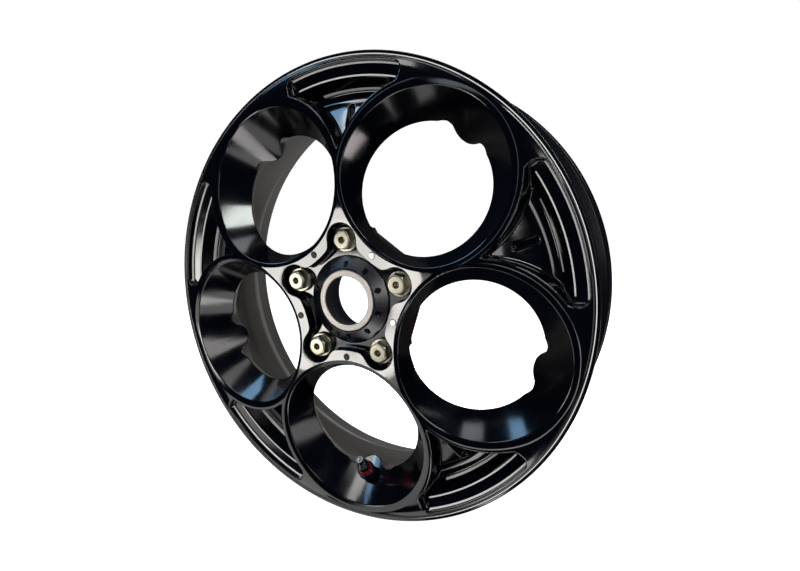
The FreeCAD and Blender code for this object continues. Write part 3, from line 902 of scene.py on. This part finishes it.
def fill(name, place, size, radiance):
    """Soft light that brightens matt surfaces and stays out of the reflections."""
    data = bpy.data.lights.new(name, "AREA")
    data.size = size
    data.energy = radiance * math.pi * size ** 2
    light = facing_middle(name, data, Vector(place))
    light.visible_glossy = False


def surroundings():
    """White behind the wheel, a dim blue all round in its reflections."""
    world = bpy.data.worlds.new("studio")
    world.use_nodes = True
    nodes, links = world.node_tree.nodes, world.node_tree.links
    nodes.clear()
    out = nodes.new("ShaderNodeOutputWorld")
    white, dim = nodes.new("ShaderNodeBackground"), nodes.new("ShaderNodeBackground")
    white.inputs["Color"].default_value = (1.0, 1.0, 1.0, 1.0)
    white.inputs["Strength"].default_value = 1.05
    dim.inputs["Color"].default_value = (0.40, 0.55, 1.0, 1.0)
    dim.inputs["Strength"].default_value = 0.018
    mix = nodes.new("ShaderNodeMixShader")
    path = nodes.new("ShaderNodeLightPath")
    links.new(path.outputs["Is Camera Ray"], mix.inputs[0])
    links.new(dim.outputs[0], mix.inputs[1])
    links.new(white.outputs[0], mix.inputs[2])
    links.new(mix.outputs[0], out.inputs["Surface"])
    bpy.context.scene.world = world


def floor(level):
    """Pale floor just under the wheel."""
    half = 6.0
    corners = [(-half, -half, level), (half, -half, level), (half, half, level), (-half, half, level)]
    mesh = bpy.data.meshes.new("floor")
    mesh.from_pydata(corners, [], [(0, 1, 2, 3)])
    ground = bpy.data.objects.new("floor", mesh)
    bpy.context.scene.collection.objects.link(ground)
    material, _, _, shader = new_material("pale_floor")
    shader.inputs["Base Color"].default_value = (0.9, 0.9, 0.9, 1.0)
    shader.inputs["Roughness"].default_value = 1.0
    shader.inputs["Specular IOR Level"].default_value = 0.0
    shader.inputs["Emission Color"].default_value = (1.0, 1.0, 1.0, 1.0)
    shader.inputs["Emission Strength"].default_value = 0.99
    dress(ground, material)
    ground.visible_glossy = False
    ground.visible_diffuse = False


# ---- build ----
def add_forged_wheel(parts, black):
    """Hub, front rim and spokes, cut from one milled surface."""
    wheel = {"wheel_hub": region_piece("wheel_hub", parts, "hub", SPOKE_ANGLES),
             "front_rim": region_piece("front_rim", parts, "rim", SPOKE_ANGLES)}
    for index, angle in enumerate(SPOKE_ANGLES):
        name = "wheel_spoke_%d" % (index + 1)
        wheel[name] = region_piece(name, parts, "spoke", [angle])
    stands_for = {"wheel_hub": "hub_flange", "front_rim": "rim_front"}
    for name, piece in wheel.items():
        dress(piece, black)
        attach(piece, "wheel")
        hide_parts(stands_for.get(name, name.replace("wheel_", "")))


def add_barrel(parts, barrel_black):
    """The barrel: its front is part of the milled surface, and the rest is turned."""
    front_barrel = region_piece("barrel_front", parts, "barrel", SPOKE_ANGLES)
    dress(front_barrel, barrel_black)
    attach(front_barrel, "wheel")
    barrel = lathe("barrel", softened(BARREL_SECTION)[::-1])
    dress(barrel, barrel_black)
    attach(barrel, "wheel")
    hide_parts("rim_barrel")


def add_bolts(titanium):
    """Five bolts with rounded edges in place of the CAD ones."""
    p, quads, normals = bolt_mesh()
    out = np.array([BOLT_CIRCLE_R, 0.0, 0.0])
    for index, angle in enumerate(SPOKE_ANGLES):
        name = "wheel_bolt_%d" % (index + 1)
        head = mesh_piece("bolt_head_%d" % (index + 1), turned(p + out, angle), quads,
                          turned(normals, angle))
        dress(head, titanium)
        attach(head, "wheel")
        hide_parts(name)


def finishes(black):
    """The material of each of the record's slots."""
    return {
        "wheel_black": black,
        "hub_satin": black,
        "machined_silver": turned_metal("machined_silver", (0.52, 0.49, 0.455), 1.0, 0.42, 0.3),
        "bolt_titanium": plain_metal("titanium", (0.44, 0.42, 0.33), (0.36, 0.34, 0.26), 1.0, 0.30),
        "seal_rubber": plain_metal("seal_rubber", (0.02, 0.02, 0.02), (0.012, 0.012, 0.012), 0.0, 0.6),
        "cage_brass": plain_metal("cage_brass", (0.62, 0.42, 0.16), (0.5, 0.33, 0.12), 1.0, 0.35),
        "bearing_steel": plain_metal("bearing_steel", (0.5, 0.5, 0.52), (0.4, 0.4, 0.42), 1.0, 0.2),
        "carrier_grey": plain_metal("carrier_grey", (0.035, 0.034, 0.034), (0.02, 0.02, 0.02), 0.0, 0.35),
        "anodised_red": plain_metal("anodised_red", (0.65, 0.02, 0.02), (0.45, 0.01, 0.015), 0.6, 0.3),
        "cap_black": turned_metal("gloss_black", (0.005, 0.006, 0.010), 0.0, 0.22, 0.85, 1.7),
        "valve_plate": plain_metal("valve_plate", (0.75, 0.74, 0.70), (0.6, 0.6, 0.58), 1.0, 0.2),
        "pin_steel": pin_steel("pin_steel"),
    }


def build():
    bpy.context.scene.view_settings.view_transform = "Standard"
    black = black_anodised("black_anodised", (0.0008, 0.0011, 0.0024), on_cones=0.12, elsewhere=0.08)
    parts = milled_wheel()
    add_forged_wheel(parts, black)
    add_barrel(parts, barrel_paint("barrel_black"))
    slots = finishes(black)
    for entry in frame["record"]["subparts"]:
        dress(frame["nodes"][entry["node"]], slots[entry["material_slot"]])
    add_bolts(slots["bolt_titanium"])


camera()
surroundings()
for name, values in CARDS.items():
    card(name, *values)
for name, values in FILLS.items():
    fill(name, *values)
build()
floor(CAD_BOX[0][2] - 0.0005)
